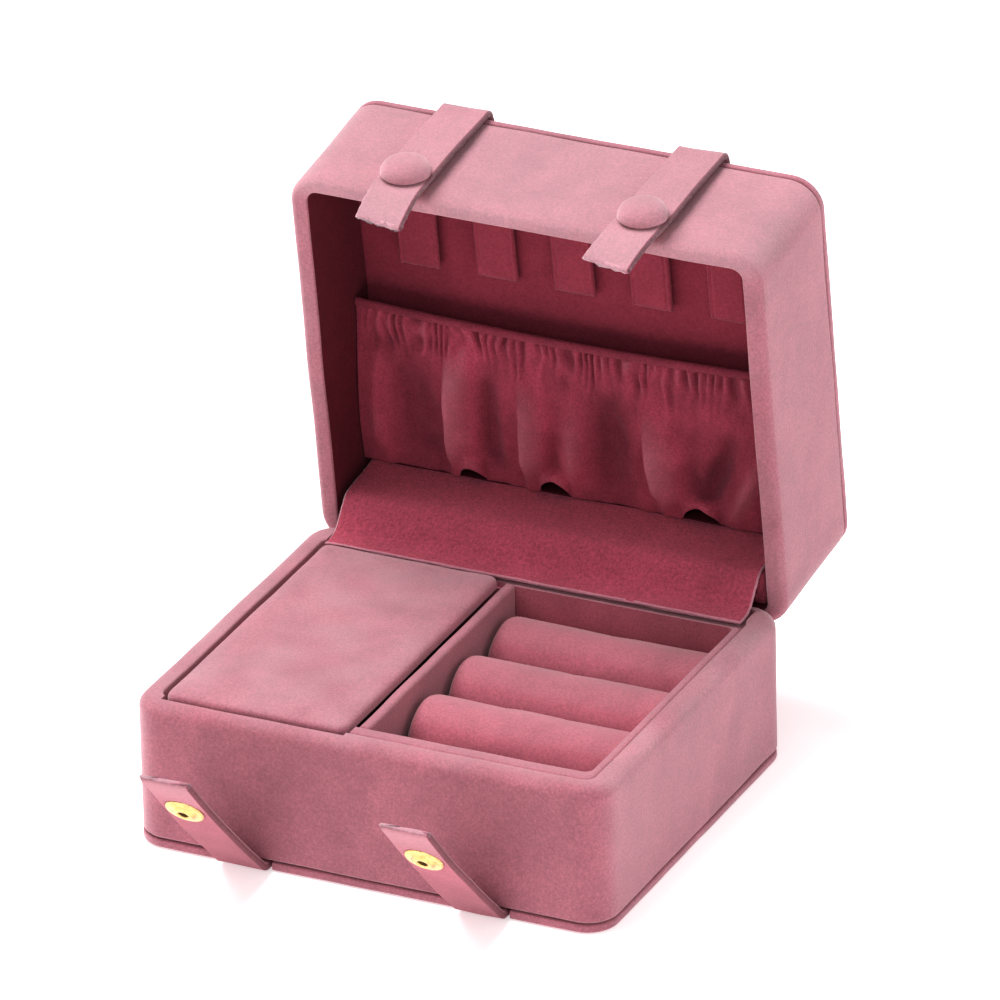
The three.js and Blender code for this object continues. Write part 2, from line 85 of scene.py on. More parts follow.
# ---- small helpers ----
class Plan:
    """A rounded rectangle in plan: x0, x1, y0, y1 and corner radius r."""

    def __init__(self, x0, x1, y0, y1, r):
        self.x0, self.x1, self.y0, self.y1, self.r = x0, x1, y0, y1, r

    def grown(self, g):
        return Plan(self.x0 - g, self.x1 + g, self.y0 - g, self.y1 + g, max(self.r + g, 0.05 * MM))

    def counts(self, step=STEP, corner=8):
        nx = max(2, math.ceil((self.x1 - self.x0) / step))
        ny = max(2, math.ceil((self.y1 - self.y0) / step))
        return nx, ny, corner

    def ring(self, z, counts):
        """Points round the outline at height z, with the same count for every plan."""
        nx, ny, corner = counts
        r = min(self.r, 0.499 * (self.x1 - self.x0), 0.499 * (self.y1 - self.y0))
        corners = [
            (self.x1 - r, self.y1 - r, 0),
            (self.x0 + r, self.y1 - r, 90),
            (self.x0 + r, self.y0 + r, 180),
            (self.x1 - r, self.y0 + r, 270),
        ]
        points = []
        for i, (cx, cy, start) in enumerate(corners):
            for k in range(corner + 1):
                a = math.radians(start + 90 * k / corner)
                points.append((cx + r * math.cos(a), cy + r * math.sin(a), z))
            side = nx if i % 2 == 0 else ny
            qx, qy, turn = corners[(i + 1) % 4]
            a = math.radians(turn)
            end = (qx + r * math.cos(a), qy + r * math.sin(a), z)
            begin = points[-1]
            for k in range(1, side):
                t = k / side
                points.append(tuple(b + (e - b) * t for b, e in zip(begin, end)))
        return points


def node_plan(node, r, closed=False):
    """(plan, lowest z, highest z) of a CAD node, in closed-lid places when closed is true."""
    if not closed:
        lo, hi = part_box(node)
    else:
        co = [CLOSED @ v.co for v in frame["nodes"][node].data.vertices]
        lo = Vector([min(c[i] for c in co) for i in range(3)])
        hi = Vector([max(c[i] for c in co) for i in range(3)])
    return Plan(lo.x, hi.x, lo.y, hi.y, r), lo.z, hi.z


def skin(rings, closed=False):
    """Vertices and faces over a stack of rings with equal point counts, capped unless it is closed."""
    n, m = len(rings[0]), len(rings)
    verts = [p for ring in rings for p in ring]
    faces = []
    for i in range(m if closed else m - 1):
        a, b = i * n, ((i + 1) % m) * n
        faces += [(a + k, a + (k + 1) % n, b + (k + 1) % n, b + k) for k in range(n)]
    if not closed:
        faces.append(tuple(reversed(range(n))))
        faces.append(tuple(range((m - 1) * n, m * n)))
    return verts, faces


def wobble(verts, depth, size, seed=0.0):
    """Soft unevenness of hand-wrapped fabric."""
    out = []
    for v in verts:
        p = Vector(v)
        q = p / size + Vector((seed, 1.7 * seed, -seed))
        out.append(p + noise.noise_vector(q) * depth)
    return out


def piece(name, verts, faces, material, lid=False):
    """A visible object; verts of a lid piece are given with the lid closed."""
    mesh = bpy.data.meshes.new(name)
    mesh.from_pydata([tuple(v) for v in verts], [], faces)
    mesh.update()
    bm = bmesh.new()
    bm.from_mesh(mesh)
    bmesh.ops.remove_doubles(bm, verts=bm.verts, dist=1e-6)
    bmesh.ops.recalc_face_normals(bm, faces=bm.faces)
    bm.to_mesh(mesh)
    bm.free()
    if lid:
        mesh.transform(OPENED)
    mesh.polygons.foreach_set("use_smooth", [True] * len(mesh.polygons))
    obj = bpy.data.objects.new(name, mesh)
    bpy.context.scene.collection.objects.link(obj)
    mesh.materials.append(material)
    return obj


def ease(a, b, t):
    """Goes smoothly from 0 at t = a to 1 at t = b."""
    t = min(1.0, max(0.0, (t - a) / (b - a)))
    return t * t * (3 - 2 * t)


def paint_scuff_and_light(obj, values):
    """Stores per vertex how much paler (towards 1) or darker (towards -1) the fabric is painted: wear,
    painted light and painted shade.
    """
    obj.data.attributes.new("scuff_and_painted_light", "FLOAT", "POINT").data.foreach_set("value", values)


def scuff_and_light_edges(obj, plan, z0, z1, reach, amount, lid=False, front=0.0):
    """Wear along the upper and lower edges and the upright corners, uneven from place to place, together
    with the painted highlight of the rounded rims.
    front is painted light over the whole front wall, or painted shade if it is negative."""
    back = CLOSED if lid else Matrix.Identity(4)
    values = []
    for vertex in obj.data.vertices:
        p = back @ vertex.co
        rim = 1 - ease(0, reach, min(p.z - z0, z1 - p.z))
        side = min(p.x - plan.x0, plan.x1 - p.x)
        end = min(p.y - plan.y0, plan.y1 - p.y)
        corner = 0.6 * (1 - ease(0.3 * plan.r, 1.2 * plan.r, side + end))
        patchy = 0.75 + 0.7 * noise.noise(p / (9 * MM))
        # painted light over the front wall, or painted shade where front is negative
        nap_streaks_and_front_light = front * (1 - ease(0.2 * plan.r, plan.r, p.y - plan.y0))
        values.append(amount * max(rim, corner) * patchy + nap_streaks_and_front_light)
    paint_scuff_and_light(obj, values)


def apply_modifiers(obj):
    dg = bpy.context.evaluated_depsgraph_get()
    mesh = bpy.data.meshes.new_from_object(obj.evaluated_get(dg), depsgraph=dg)
    obj.modifiers.clear()
    obj.data = mesh


def cut(obj, boxes):
    """Takes boxes (x0, x1, y0, y1, z0, z1) out of a piece."""
    for x0, x1, y0, y1, z0, z1 in boxes:
        corners = [(x, y, z) for x in (x0, x1) for y in (y0, y1) for z in (z0, z1)]
        faces = [(0, 1, 3, 2), (4, 6, 7, 5), (0, 4, 5, 1), (2, 3, 7, 6), (0, 2, 6, 4), (1, 5, 7, 3)]
        tool_mesh = bpy.data.meshes.new("tool")
        tool_mesh.from_pydata(corners, [], faces)
        tool = bpy.data.objects.new("tool", tool_mesh)
        bpy.context.scene.collection.objects.link(tool)
        mod = obj.modifiers.new("cut", "BOOLEAN")
        mod.operation, mod.object, mod.solver = "DIFFERENCE", tool, "EXACT"
        bpy.context.view_layer.update()
        apply_modifiers(obj)
        bpy.data.objects.remove(tool)
    obj.data.set_sharp_from_angle(angle=SHARP)


# ---- materials ----
def nodes_of(name):
    mat = bpy.data.materials.new(name)
    mat.use_nodes = True
    tree = mat.node_tree
    return mat, tree.nodes, tree.links, tree.nodes["Principled BSDF"]


def mixed(nodes, links, mode, a, b, factor=1.0):
    """A colour mix node; a and b are colours or output sockets."""
    mix = nodes.new("ShaderNodeMix")
    mix.data_type, mix.blend_type = "RGBA", mode
    for socket, value in ((mix.inputs[0], factor), (mix.inputs[6], a), (mix.inputs[7], b)):
        if isinstance(value, bpy.types.NodeSocket):
            links.new(value, socket)
        else:
            socket.default_value = value
    return mix.outputs[2]


def noise_of(nodes, links, vector, scale, detail=2.0, distortion=0.0, low=0.35, high=0.65):
    """Noise stretched to run from 0 to 1."""
    tex = nodes.new("ShaderNodeTexNoise")
    tex.inputs["Scale"].default_value = scale
    tex.inputs["Detail"].default_value = detail
    tex.inputs["Distortion"].default_value = distortion
    links.new(vector, tex.inputs["Vector"])
    span = nodes.new("ShaderNodeMapRange")
    span.inputs["From Min"].default_value = low
    span.inputs["From Max"].default_value = high
    links.new(tex.outputs["Fac"], span.inputs["Value"])
    return span.outputs["Result"]


PALE = (0.85, 0.78, 0.79, 1.0)  # what worn fabric and painted highlights tend to


def varied(nodes, links, amount, factor):
    """A multiplier that runs from 1 - amount to 1 + amount as the factor goes from 0 to 1."""
    low, high = 1 - amount, 1 + amount
    return mixed(nodes, links, "MIX", (low, low, low, 1), (high, high, high, 1), factor)


def clamped(nodes, links, value, factor, plus):
    """value * factor + plus, kept between 0 and 1."""
    scaled = nodes.new("ShaderNodeMath")
    scaled.operation = "MULTIPLY_ADD"
    scaled.use_clamp = True
    scaled.inputs[1].default_value = factor
    scaled.inputs[2].default_value = plus
    links.new(value, scaled.inputs[0])
    return scaled.outputs[0]


def napped(name, colour, grain, contrast, patches, sheen, bump, tint=(1.0, 0.86, 0.88, 1.0)):
    """Brushed fabric: broad patches where the nap lies another way, fine grain and a soft sheen.
    A mesh's per-vertex attribute, from -1 to 1, makes its colour darker or paler there, for wear and for
    painted light and shade."""
    mat, nodes, links, shader = nodes_of(name)
    place = nodes.new("ShaderNodeTexCoord").outputs["Object"]
    broad = noise_of(nodes, links, place, 38, 3.0, 1.2, 0.3, 0.7)
    nap_streaks_and_front_light = noise_of(nodes, links, place, 150, 3.0, 0.6)
    fine = noise_of(nodes, links, place, grain, 3.0, 0.3, 0.3, 0.7)
    specks = noise_of(nodes, links, place, grain * 2.6, 1.0, 0.0, 0.35, 0.7)
    shade = varied(nodes, links, patches, broad)
    shade = mixed(nodes, links, "MULTIPLY", shade, varied(nodes, links, patches * 0.5, nap_streaks_and_front_light))
    shade = mixed(nodes, links, "MULTIPLY", shade, varied(nodes, links, contrast, fine))
    shade = mixed(nodes, links, "MULTIPLY", shade, varied(nodes, links, contrast * 0.5, specks))
    # below 0 the colour darkens as painted shade; above 0 it pales towards PALE, as wear and painted
    # highlight
    scuff_and_painted_light = nodes.new("ShaderNodeAttribute")
    scuff_and_painted_light.attribute_name = "scuff_and_painted_light"
    deep = clamped(nodes, links, scuff_and_painted_light.outputs["Fac"], 0.6, 1.0)
    pale = clamped(nodes, links, scuff_and_painted_light.outputs["Fac"], 0.45, 0.0)
    shade = mixed(nodes, links, "MULTIPLY", shade, deep)
    cloth = mixed(nodes, links, "MULTIPLY", (*colour, 1.0), shade)
    cloth = mixed(nodes, links, "MIX", cloth, PALE, pale)
    links.new(cloth, shader.inputs["Base Color"])
    height = nodes.new("ShaderNodeMath")
    height.operation = "ADD"
    links.new(fine, height.inputs[0])
    links.new(specks, height.inputs[1])
    bumped = nodes.new("ShaderNodeBump")
    bumped.inputs["Strength"].default_value = bump
    bumped.inputs["Distance"].default_value = 0.12 * MM
    links.new(height.outputs[0], bumped.inputs["Height"])
    links.new(bumped.outputs["Normal"], shader.inputs["Normal"])
    shader.inputs["Roughness"].default_value = 0.95
    shader.inputs["Specular IOR Level"].default_value = 0.15
    shader.inputs["Sheen Weight"].default_value = sheen
    shader.inputs["Sheen Roughness"].default_value = 0.55
    shader.inputs["Sheen Tint"].default_value = tint
    return mat


def brass(name):
    """Plated metal with a slightly smeared polish."""
    mat, nodes, links, shader = nodes_of(name)
    place = nodes.new("ShaderNodeTexCoord").outputs["Object"]
    smear = noise_of(nodes, links, place, 900, 3.0, 0.5)
    colour = mixed(nodes, links, "MIX", (0.62, 0.42, 0.16, 1), (0.82, 0.58, 0.26, 1), smear)
    links.new(colour, shader.inputs["Base Color"])
    rough = nodes.new("ShaderNodeMapRange")
    rough.inputs["To Min"].default_value = 0.2
    rough.inputs["To Max"].default_value = 0.38
    links.new(smear, rough.inputs["Value"])
    links.new(rough.outputs["Result"], shader.inputs["Roughness"])
    shader.inputs["Metallic"].default_value = 1.0
    return mat


def matt(name, colour, other, scale):
    """Plain board or foam, with a fine fleck."""
    mat, nodes, links, shader = nodes_of(name)
    place = nodes.new("ShaderNodeTexCoord").outputs["Object"]
    fleck = noise_of(nodes, links, place, scale, 4.0)
    links.new(mixed(nodes, links, "MIX", (*colour, 1), (*other, 1), fleck), shader.inputs["Base Color"])
    shader.inputs["Roughness"].default_value = 0.9
    return mat


# name, colour, grain scale, grain contrast, nap patches, sheen, bump, sheen tint
SUEDE = napped("suede", (0.41, 0.137, 0.180), 1900, 0.18, 0.11, 0.7, 0.25, (1.0, 0.80, 0.83, 1))
# a darker copy of the suede with less sheen: painted shade on the tray walls and the flaps
SUEDE_SHADED = napped("suede_painted_shade", (0.42, 0.112, 0.152), 1900, 0.16, 0.10, 0.4, 0.3, (1.0, 0.6, 0.66, 1))
SUEDE_LIGHT = napped("suede_cut_edge", (0.54, 0.21, 0.27), 1900, 0.16, 0.06, 0.8, 0.4)
ROLL = napped("roll_velvet", (0.45, 0.124, 0.166), 1900, 0.15, 0.10, 0.5, 0.3)
PLUSH = napped("plush", (0.48, 0.088, 0.137), 1600, 0.22, 0.08, 0.2, 0.8, (1.0, 0.6, 0.68, 1))
POCKET = napped("pocket_velvet", (0.40, 0.066, 0.108), 1900, 0.18, 0.14, 0.2, 0.5, (1.0, 0.45, 0.55, 1))
TAB = napped("tab_suede", (0.34, 0.052, 0.084), 1600, 0.15, 0.08, 0.14, 0.3)
PANEL = napped("panel_suede", (0.29, 0.040, 0.067), 1600, 0.14, 0.09, 0.12, 0.3)
# a darker copy of the interior fabric for the lid's lining and the compartment cloths: painted shade
CLOTH_IN_SHADE = napped("lining", (0.15, 0.015, 0.028), 1600, 0.14, 0.09, 0.05, 0.3)
# near-black cloth along the pocket's bottom and behind its openings: painted shade
SEAM_SHADE = napped("pocket_gap_painted_shade", (0.070, 0.009, 0.016), 1600, 0.14, 0.05, 0.0, 0.3)
BRASS = brass("brass")
# matt dark inside of the socket's hole: painted shade
SOCKET_HOLE_SHADE = matt("socket_hole_painted_shade", (0.20, 0.10, 0.02), (0.09, 0.045, 0.01), 900)
BOARD = matt("board", (0.30, 0.24, 0.19), (0.22, 0.17, 0.13), 900)
FOAM = matt("foam", (0.62, 0.57, 0.52), (0.55, 0.50, 0.45), 1200)

# ---- base ----
R_CORNER = 6.6 * MM
R_RIM = 2.6 * MM
R_TRAY = 2.2 * MM
ABOVE = 50 * MM  # higher than the base


def rounded(outer, z0, z1, rb, rt, counts, rows):
    """Rings up the outside of a wrapped body with rounded lower and upper edges."""
    rings = []
    turns = 6
    for i in range(turns + 1):
        a = math.radians(90 * i / turns)
        rings.append(outer.grown(-rb * (1 - math.sin(a))).ring(z0 + rb * (1 - math.cos(a)), counts))
    for i in range(1, rows):
        rings.append(outer.ring(z0 + rb + (z1 - rt - z0 - rb) * i / rows, counts))
    for i in range(turns, -1, -1):
        a = math.radians(90 * i / turns)
        rings.append(outer.grown(-rt * (1 - math.sin(a))).ring(z1 - rt * (1 - math.cos(a)), counts))
    return rings


def wrapped_frame(name, outer, inner, z0, z1, radii, material, rows=18, lid=False, lip=0.0):
    """Open box frame. radii are the outside's lower and upper ones and the inner wall's at both ends.
    A lip is fabric turned in over the low end of the inner wall."""
    rb, rt, ri = radii
    counts = outer.counts()
    rings = rounded(outer, z0, z1, rb, rt, counts, rows)
    turns = 4
    for i in range(turns + 1):
        a = math.radians(90 * i / turns)
        rings.append(inner.grown(ri * (1 - math.sin(a))).ring(z1 - ri * (1 - math.cos(a)), counts))
    foot = 0.44 * MM if lip else ri
    for i in range(1, rows):
        rings.append(inner.ring(z1 - ri + (z0 - z1 + ri + foot) * i / rows, counts))
    if lip:
        rings.append(inner.ring(z0 + foot, counts))
        rings.append(inner.grown(-lip).ring(z0 + foot, counts))
        ri, inner = 0.4 * MM, inner.grown(-lip)
    for i in range(turns, -1, -1):
        a = math.radians(90 * i / turns)
        rings.append(inner.grown(ri * (1 - math.sin(a))).ring(z0 + ri * (1 - math.cos(a)), counts))
    verts, faces = skin(rings, closed=True)
    verts = wobble(verts, 0.16 * MM, 14 * MM, 3.0)
    return piece(name, verts, faces, material, lid=lid)


def wrapped_board(name, plan, z0, z1, radii, material, crown=0.0, lid=False, seed=5.0):
    """Closed slab wrapped in fabric; radii are its lower and upper ones, and crown raises its middle."""
    rb, rt = radii
    counts = plan.counts(2.2 * MM)
    edge = rounded(plan, z0, z1 - crown, rb, rt, counts, 3)
    half = 0.5 * min(plan.x1 - plan.x0, plan.y1 - plan.y0)
    insets = [half * t for t in (0.16, 0.3, 0.45, 0.6, 0.75, 0.88, 0.97)]
    under = [plan.grown(-i).ring(z0, counts) for i in reversed(insets) if i > rb]
    over = []
    for i in insets:
        if i > rt:
            rise = crown * (1 - (1 - i / half) ** 3)
            over.append(plan.grown(-i).ring(z1 - crown + rise, counts))
    verts, faces = skin(under + edge + over)
    verts = wobble(verts, 0.1 * MM, 11 * MM, seed)
    return piece(name, verts, faces, material, lid=lid)


def build_base():
    """The outer shell, with room cut for the compartment cover and for the lining over its back rim."""
    shell_plan, z0, z1 = node_plan("base_shell", R_CORNER)
    tray_plan = node_plan("tray_walls", R_TRAY)[0]
    hole = tray_plan.grown(CREASE)
    shell = wrapped_frame("base_shell_wrap", shell_plan, hole, z0, z1,
                          (0.7 * MM, R_RIM, 0.5 * MM), SUEDE)
    cover = node_plan("cover_pad", R_TRAY)[0]
    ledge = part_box("cover_lining")[0].z - GAP
    lining_lo, lining_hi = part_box("back_lining")
    half_lining = lining_hi.x + 0.4 * MM
    cut(shell, [
        (cover.x0 - GAP, cover.x1 + GAP, cover.y0 - GAP, hole.y0 + MM, ledge, ABOVE),
        (-half_lining, half_lining, hole.y1 - 2 * MM, lining_hi.y + 0.8 * MM, lining_lo.z - GAP, ABOVE),
    ])
    # worn rims with a painted highlight, and painted shade over the whole front wall
    scuff_and_light_edges(shell, shell_plan, z0 - 5 * MM, z1, 3.6 * MM, 0.24, front=-0.12)
    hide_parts("base_shell")
    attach(shell, "base")


def build_bottom():
    """The wrapped bottom board, notched where the flaps come out."""
    plan, z0, z1 = node_plan("base_panel", R_CORNER)
    board = wrapped_board("bottom_board_wrap", plan, z0, z1, (0.7 * MM, 0.5 * MM), SUEDE)
    notches = []
    for side in ("left", "right"):
        lo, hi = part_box(f"flap_anchor_{side}")
        notches.append((lo.x - GAP, hi.x + GAP, lo.y - 4 * MM, hi.y + GAP, -MM, z1 + MM))
    cut(board, notches)
    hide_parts("base_panel")
    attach(board, "base")


def build_tray():
    """The tray's walls, lower under the cover and the back lining, with a lighter rim over walls in
    painted shade.
    """
    plan, z0, z1 = node_plan("tray_walls", R_TRAY)
    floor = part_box("tray_floor")[1].z
    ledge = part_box("cover_lining")[0].z - GAP
    back_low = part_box("back_lining")[0].z - GAP
    div_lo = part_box("divider")[0]
    front, side, back = 3.6 * MM, 2.0 * MM, 3.0 * MM
    room = Plan(plan.x0 + side, plan.x1 - side, plan.y0 + front, plan.y1 - back, 1.6 * MM)
    walls = wrapped_frame("tray_wrap", plan, room, floor + GAP, z1,
                          (0.3 * MM, 0.75 * MM, 0.7 * MM), SUEDE_SHADED, rows=10)
    cut(walls, [
        (plan.x0 - MM, div_lo.x, plan.y0 - MM, room.y1 + 0.5 * MM, ledge, ABOVE),
        (plan.x0 - MM, plan.x1 + MM, room.y1 - MM, plan.y1 + MM, back_low, ABOVE),
    ])
    # painted shade: the walls take the shaded copy of the suede, and only faces at the top rim take the
    # plain suede
    walls.data.materials.append(SUEDE)
    for face in walls.data.polygons:
        face.material_index = int(face.center.z > z1 - 1.1 * MM)
    # painted shade, darker towards the bottom of the walls
    paint_scuff_and_light(walls, [0.45 * ease(z0, z1, v.co.z) - 0.4 for v in walls.data.vertices])
    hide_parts("tray_walls")
    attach(walls, "base")


def build_divider():
    plan, z0, z1 = node_plan("divider", 0.5 * MM)
    rings = rounded(plan, z0, z1, 0.2 * MM, 0.9 * MM, plan.counts(1.5 * MM, 3), 12)
    verts, faces = skin(rings)
    divider = piece("divider_wrap", wobble(verts, 0.15 * MM, 12 * MM, 8), faces, SUEDE)
    # painted shade, darker towards the bottom
    paint_scuff_and_light(divider, [0.5 * ease(z0, z1, v.co.z) - 0.45 for v in divider.data.vertices])
    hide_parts("divider")
    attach(divider, "base")


def build_compartment_pad():
    plan, z0, z1 = node_plan("compartment_pad", 1.4 * MM)
    pad = wrapped_board("compartment_cushion", plan, z0, z1, (0.2 * MM, 0.6 * MM), CLOTH_IN_SHADE,
                        crown=0.3 * MM)
    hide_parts("compartment_pad")
    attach(pad, "base")


def build_rolls():
    """Stuffed half-round rolls on straight feet, pulled in at their ends."""
    ends = [(0, 2.2), (0.25, 1.2), (0.9, 0.4), (2.0, 0.0)]  # distance from the end, inset, in mm
    for i in range(1, 5):
        lo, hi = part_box(f"ring_roll_{i}")
        y, r = (lo.y + hi.y) / 2, (hi.y - lo.y) / 2
        centre = hi.z - r
        stations = [(lo.x + a * MM, b * MM) for a, b in ends]
        inner_x = np.linspace(lo.x + 3.5 * MM, hi.x - 3.5 * MM, 26)
        stations += [(x, 0.0) for x in inner_x]
        stations += [(hi.x - a * MM, b * MM) for a, b in reversed(ends)]
        foot = lo.z + MM
        rings = []
        for x, inset in stations:
            rr = r - inset
            ring = [(x, y - rr + MM, lo.z), (x, y + rr - MM, lo.z)]
            ring += [(x, y + rr, foot + (centre - foot) * t) for t in (0, 0.33, 0.66)]
            ring += [
                (x, y + rr * math.cos(a), centre + rr * math.sin(a))
                for a in np.linspace(0, math.pi, 31)
            ]
            ring += [(x, y - rr, foot + (centre - foot) * t) for t in (0.66, 0.33, 0)]
            rings.append(ring)
        verts, faces = skin(rings)
        verts = wobble(verts, 0.3 * MM, 13 * MM, 2.0 + i)
        obj = piece(f"ring_roll_{i}_velvet", verts, faces, ROLL)
        puffed(obj, 0.85 * MM, 0.35 * MM, shrink=0.15 * MM)
        # painted shade low on each roll and painted light over its top
        low, top = centre - 0.1 * r, centre + 0.9 * r
        paint_scuff_and_light(obj, [0.85 * ease(low, top, v.co.z) - 0.75 for v in obj.data.vertices])
        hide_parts(f"ring_roll_{i}")
        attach(obj, "base")


def build_cover():
    """The compartment's cover: a cushion over its board, and the lining under it."""
    plan, z0, z1 = node_plan("cover_pad", R_TRAY)
    plan.x1 += 0.3 * MM  # the cushion swells towards the divider
    crest = z1 + 0.25 * MM
    top = wrapped_board("cover_cushion", plan, z0 - 1.1 * MM, crest, (0.4 * MM, 1.2 * MM), SUEDE,
                        crown=0.5 * MM, seed=11.0)
    puffed(top, 0.6 * MM, 0.3 * MM, shrink=-0.15 * MM)
    # worn edges, paled, which also serve as a painted highlight on the rounded rims
    scuff_and_light_edges(top, plan, z0 - 5 * MM, crest, 1.5 * MM, 0.22)
    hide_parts("cover_pad", "cover_board")
    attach(top, "compartment_cover")
    plan, z0, z1 = node_plan("cover_lining", 1.4 * MM)
    under = wrapped_board("cover_lining_cloth", plan, z0, z1, (0.15 * MM, 0.15 * MM), CLOTH_IN_SHADE)
    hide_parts("cover_lining")
    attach(under, "compartment_cover")


# ---- lid ----
def build_lid():
    """The lid's walls, its top board, and the lining of the walls and of the top."""
    lining_plan, l0, l1 = node_plan("lid_lining", 3.3 * MM, closed=True)
    plan, z0, z1 = node_plan("lid_shell", R_CORNER, closed=True)
    shell = wrapped_frame("lid_shell_wrap", plan, lining_plan.grown(CREASE), z0, z1,
                          (1.7 * MM, 0.6 * MM, 0.7 * MM), SUEDE, lid=True, lip=0.95 * MM)
    # painted light over the lid's front wall, which faces up with the lid open; its rim is worn and
    # carries a painted highlight
    scuff_and_light_edges(shell, plan, z0, z1 + 5 * MM, 1.6 * MM, 0.12, lid=True, front=0.30)
    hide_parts("lid_shell")
    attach(shell, "lid")
    plan, z0, z1 = node_plan("lid_top", R_CORNER, closed=True)
    top = wrapped_board("lid_top_wrap", plan, z0, z1, (0.5 * MM, 0.9 * MM), SUEDE,
                        crown=0.15 * MM, lid=True)
    # worn edges, paled, which also serve as a painted highlight on the rounded rims
    scuff_and_light_edges(top, plan, z0, z1 + 5 * MM, 1.2 * MM, 0.25, lid=True)
    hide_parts("lid_top")
    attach(top, "lid")
    room = lining_plan.grown(-0.9 * MM)
    lining = wrapped_frame("lid_lining_cloth", lining_plan, room, l0, l1,
                           (0.35 * MM, 0.2 * MM, 0.3 * MM), CLOTH_IN_SHADE, rows=14, lid=True)
    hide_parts("lid_lining")
    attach(lining, "lid")
    plan, z0, z1 = node_plan("lid_panel", 3.2 * MM, closed=True)
    panel = wrapped_board("lid_panel_wrap", plan, z0, z1, (0.3 * MM, 0.3 * MM), PANEL, lid=True)
    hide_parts("lid_panel")
    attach(panel, "lid")


def build_lid_back_pad():
    plan, z0, z1 = node_plan("lid_back_pad", 1.2 * MM, closed=True)
    pad = wrapped_board("lid_back_cushion", plan, z0, z1, (1.0 * MM, 0.3 * MM), PLUSH, lid=True)
    puffed(pad, 0.8 * MM, 0.25 * MM, shrink=0.2 * MM)
    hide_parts("lid_back_pad")
    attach(pad, "lid")


def lathe(name, profile, turns, place, material, wobble_depth=0.0, inner=None, inner_from=0):
    """Turned piece. profile is (radius, height) pairs from the axis to the axis, place is its matrix,
    and inner is the material nearer to the axis than inner_from."""
    verts, faces = [], []
    n = len(profile)
    for k in range(turns):
        a = 2 * math.pi * k / turns
        verts += [(r * math.cos(a), r * math.sin(a), h) for r, h in profile]
    for k in range(turns):
        q = (k + 1) % turns
        for i in range(n - 1):
            faces.append((k * n + i, q * n + i, q * n + i + 1, k * n + i + 1))
    verts = [place @ Vector(v) for v in wobble(verts, wobble_depth, 5 * MM, 4.0)]
    obj = piece(name, verts, faces, material)
    if inner:
        obj.data.materials.append(inner)
        axis = place.inverted()
        for face in obj.data.polygons:
            middle = axis @ face.center
            face.material_index = int(math.hypot(middle.x, middle.y) < inner_from)
    return obj


def spaced(path, step):
    """The path's points at even spacing, each with its unit tangent."""
    points = [Vector(p) for p in path]
    lengths = [0.0]
    for a, b in zip(points, points[1:]):
        lengths.append(lengths[-1] + (b - a).length)
    count = max(2, round(lengths[-1] / step))
    out, i = [], 0
    for k in range(count + 1):
        want = lengths[-1] * k / count
        while i < len(points) - 2 and lengths[i + 1] < want:
            i += 1
        span = lengths[i + 1] - lengths[i]
        out.append(points[i].lerp(points[i + 1], (want - lengths[i]) / span))
    tangents = []
    for k, p in enumerate(out):
        a, b = out[max(k - 1, 0)], out[min(k + 1, count)]
        tangents.append((b - a).normalized())
    return list(zip(out, tangents)), lengths[-1]


def smooth_path(points, rounds):
    """Corner cutting that keeps both ends."""
    points = [Vector(p) for p in points]
    for _ in range(rounds):
        cut_points = [points[0]]
        for a, b in zip(points, points[1:]):
            cut_points += [a.lerp(b, 0.25), a.lerp(b, 0.75)]
        points = cut_points + [points[-1]]
    return [tuple(p) for p in points]


